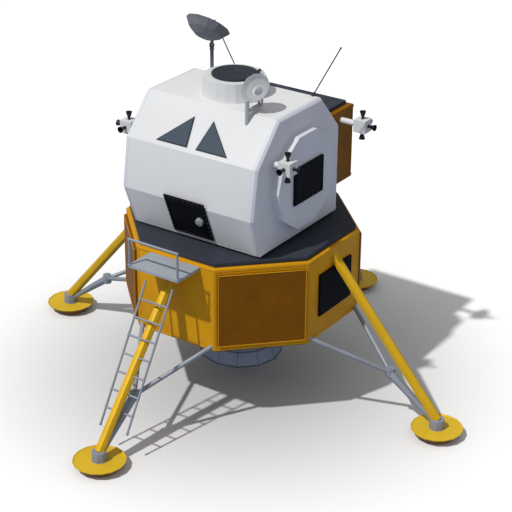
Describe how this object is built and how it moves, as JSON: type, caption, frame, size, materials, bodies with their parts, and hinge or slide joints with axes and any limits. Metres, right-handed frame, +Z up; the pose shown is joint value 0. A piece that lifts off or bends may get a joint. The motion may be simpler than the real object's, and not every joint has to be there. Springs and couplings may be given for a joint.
{
  "type": "lunar module",
  "caption": "Lunar lander: gold octagonal descent stage on strutted legs with round footpads, ladder and porch; pale faceted crew cabin with dark hatch, angled windows, dishes and thrusters.",
  "frame": {"origin": "on the ground, under the middle of the four footpads", "axes": "+Z up, -Y to the front (hatch, porch and ladder), +X to the right of a viewer who faces the front"},
  "size_m": [10.44, 10.44, 7.5949],
  "materials": {
    "gold_foil": "satin gold",
    "shield_foil": "dull gold-brown",
    "deck_dark": "matte",
    "corner_foil": "satin amber",
    "black_panel": "matte",
    "strut_gold": "satin gold",
    "strut_grey": "satin",
    "pad_gold": "satin gold",
    "porch_grey": "satin",
    "tube_grey": "satin",
    "engine_metal": "satin",
    "bell_blue": "matte",
    "fitting": "satin",
    "cabin_white": "satin",
    "cabin_grey": "satin",
    "window_glass": "gloss",
    "console_black": "matte",
    "handle_grey": "satin",
    "lid_dark": "matte",
    "bay_brown": "satin",
    "nozzle_black": "matte",
    "antenna_dark": "satin",
    "dish_grey": "satin"
  },
  "bodies": {
    "lander": {"descent_body": "gold_foil", "base_shield": "shield_foil", "deck": "deck_dark", "corner_panels": "corner_foil", "leg_panels": "black_panel", "bulge_panels": "black_panel", "hatch_frame": "black_panel", "bay_cover": "black_panel", "main_strut_front": "strut_gold", "main_strut_right": "strut_gold", "main_strut_rear": "strut_gold", "main_strut_left": "strut_gold", "side_struts": "strut_grey", "lower_links": "strut_grey", "footpad_front": "pad_gold", "footpad_right": "pad_gold", "footpad_rear": "pad_gold", "footpad_left": "pad_gold", "porch": "porch_grey", "porch_rail": "tube_grey", "ladder_rails": "tube_grey", "ladder_rungs": "tube_grey", "hatch_hinge": "tube_grey", "engine_mount": "engine_metal", "ascent_engine": "engine_metal", "interstage_fittings": "fitting", "cabin_front": "cabin_white", "cabin_roof": "cabin_white", "tunnel_collar": "cabin_white", "thruster_blocks": "cabin_white", "cabin_floor": "cabin_grey", "cabin_rear": "cabin_grey", "cabin_side_left": "cabin_grey", "cabin_side_right": "cabin_grey", "windows": "window_glass", "console": "console_black", "aft_bay": "bay_brown", "thruster_nozzles": "nozzle_black", "dish_mast": "antenna_dark", "whip_antennas": "antenna_dark", "radar_post": "dish_grey"},
    "front_hatch": {"front_hatch": "black_panel", "hatch_handle": "handle_grey"},
    "docking_lid": {"docking_lid": "lid_dark"},
    "dish_yoke": {"dish_yoke": "antenna_dark"},
    "dish_antenna": {"dish_antenna": "dish_grey"},
    "radar_yoke": {"radar_yoke": "dish_grey"},
    "radar_dish": {"radar_dish": "dish_grey"},
    "gimbal_ring": {"gimbal_ring": "engine_metal"},
    "engine_bell": {"engine_bell": "bell_blue"}
  },
  "joints": [
    {"name": "front_hatch_hinge", "type": "hinge", "parent": "lander", "child": "front_hatch", "pos_m": [-0.441, -1.63144, 4.06437], "axis": [0, -0.3697, 0.9292], "range_deg": [0, 85]},
    {"name": "docking_lid_hinge", "type": "hinge", "parent": "lander", "child": "docking_lid", "pos_m": [0.35709, 0.11709, 6.634], "axis": [-0.7071, 0.7071, 0], "range_deg": [0, 100]},
    {"name": "dish_azimuth", "type": "hinge", "parent": "lander", "child": "dish_yoke", "pos_m": [-0.97, 0.35, 6.74], "axis": [0, 0, 1], "range_deg": [-75, 75]},
    {"name": "dish_elevation", "type": "hinge", "parent": "dish_yoke", "child": "dish_antenna", "pos_m": [-0.97, 0.35, 6.86], "axis": [1, 0, 0], "range_deg": [-30, 30]},
    {"name": "radar_azimuth", "type": "hinge", "parent": "lander", "child": "radar_yoke", "pos_m": [0.915, -1.145, 6.242], "axis": [0, 0, 1], "range_deg": [-60, 60]},
    {"name": "radar_elevation", "type": "hinge", "parent": "radar_yoke", "child": "radar_dish", "pos_m": [0.915, -0.702, 6.549], "axis": [-1, 0, 0], "range_deg": [-18, 45]},
    {"name": "engine_gimbal_pitch", "type": "hinge", "parent": "lander", "child": "gimbal_ring", "pos_m": [0, 0, 1.95], "axis": [1, 0, 0], "range_deg": [-6, 6]},
    {"name": "engine_gimbal_roll", "type": "hinge", "parent": "gimbal_ring", "child": "engine_bell", "pos_m": [0, 0, 1.95], "axis": [0, 1, 0], "range_deg": [-6, 6]}
  ]
}
